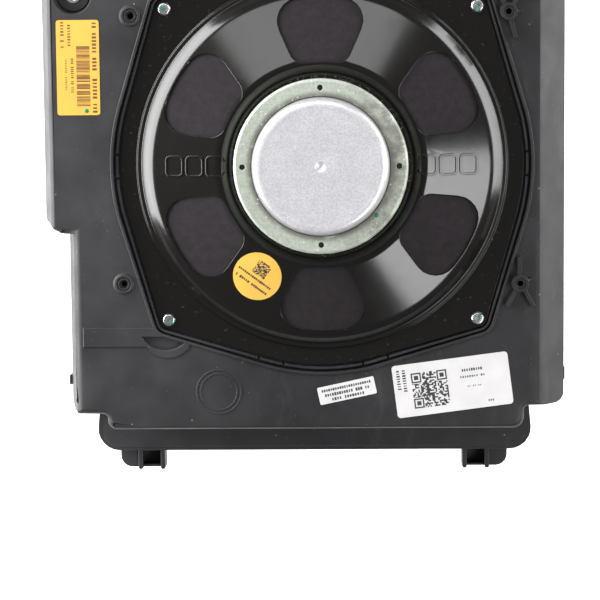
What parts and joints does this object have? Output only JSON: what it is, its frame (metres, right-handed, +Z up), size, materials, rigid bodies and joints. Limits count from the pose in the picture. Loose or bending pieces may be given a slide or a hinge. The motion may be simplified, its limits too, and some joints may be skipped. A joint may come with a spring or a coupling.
{
  "type": "car subwoofer speaker",
  "caption": "Shallow two-shell enclosure with a round magnet-out driver in its top face, a duct mouth with hooks for the car's sill and pockets for floor bolts",
  "frame": {"origin": "On the driver's axis, on the plane that the box rests on", "axes": "+Z up, out of the magnet; -Y towards the sill duct and its hooks; +X towards the side that slopes"},
  "size_m": [0.3114, 0.3263, 0.0975],
  "materials": {
    "housing_plastic": "fine-grained moulded plastic with scuffs",
    "foam_seal": "closed-cell foam rubber",
    "zinc_screw": "zinc plated with green sealing dye",
    "rubber_bush": "soft black rubber",
    "steel_sleeve": "zinc plated tube",
    "basket_paint": "glossy black paint on pressed steel",
    "window_felt": "thin dark grey felt",
    "plate_steel": "plated steel",
    "ferrite": "dark grey sintered ferrite",
    "cap_steel": "bright plated steel, lightly pitted",
    "can_zinc": "pale green-grey zinc plate, grainy",
    "ring_plastic": "moulded plastic",
    "spider_cloth": "resin-stiffened woven cloth",
    "cone_paper": "coated paper pulp",
    "surround_rubber": "butyl rubber",
    "cap_paper": "coated paper pulp",
    "former_film": "amber film",
    "coil_copper": "enamelled copper wire",
    "tinsel_copper": "braided tinsel wire",
    "block_plastic": "moulded plastic",
    "terminal_brass": "tinned brass",
    "lead_red": "PVC insulation",
    "lead_black": "PVC insulation",
    "connector_plastic": "glass-filled nylon",
    "label_yellow": "printed self-adhesive label",
    "label_white": "printed self-adhesive label"
  },
  "bodies": {
    "enclosure": {"housing_upper": "housing_plastic", "housing_lower": "housing_plastic", "housing_seal": "foam_seal", "housing_screws": "zinc_screw", "duct_gasket": "foam_seal", "mounting_grommets": "rubber_bush", "mounting_sleeves": "steel_sleeve", "basket": "basket_paint", "basket_gasket": "foam_seal", "basket_screws": "zinc_screw", "window_felt_1": "window_felt", "window_felt_2": "window_felt", "window_felt_3": "window_felt", "window_felt_4": "window_felt", "window_felt_5": "window_felt", "window_felt_6": "window_felt", "front_plate": "plate_steel", "magnet_ring": "ferrite", "yoke": "cap_steel", "magnet_can": "can_zinc", "spider_ring": "ring_plastic", "spider": "spider_cloth", "surround": "surround_rubber", "tinsel_lead_pos": "tinsel_copper", "tinsel_lead_neg": "tinsel_copper", "terminal_block": "block_plastic", "terminal_pos": "terminal_brass", "terminal_neg": "terminal_brass", "lead_pos": "lead_red", "lead_neg": "lead_black", "connector_socket": "connector_plastic", "connector_pins": "terminal_brass", "part_label": "label_yellow", "round_label": "label_yellow", "small_label": "label_white", "large_label": "label_white"},
    "cone_assembly": {"cone": "cone_paper", "dust_cap": "cap_paper", "voice_coil_former": "former_film", "voice_coil_winding": "coil_copper"}
  },
  "joints": [
    {"name": "cone_travel", "type": "slide", "parent": "enclosure", "child": "cone_assembly", "axis": [0, 0, 1], "range_m": [-0.005, 0.005], "stiffness_N_per_m": 1800, "deforming": ["surround", "spider", "tinsel_lead_pos", "tinsel_lead_neg"]}
  ]
}
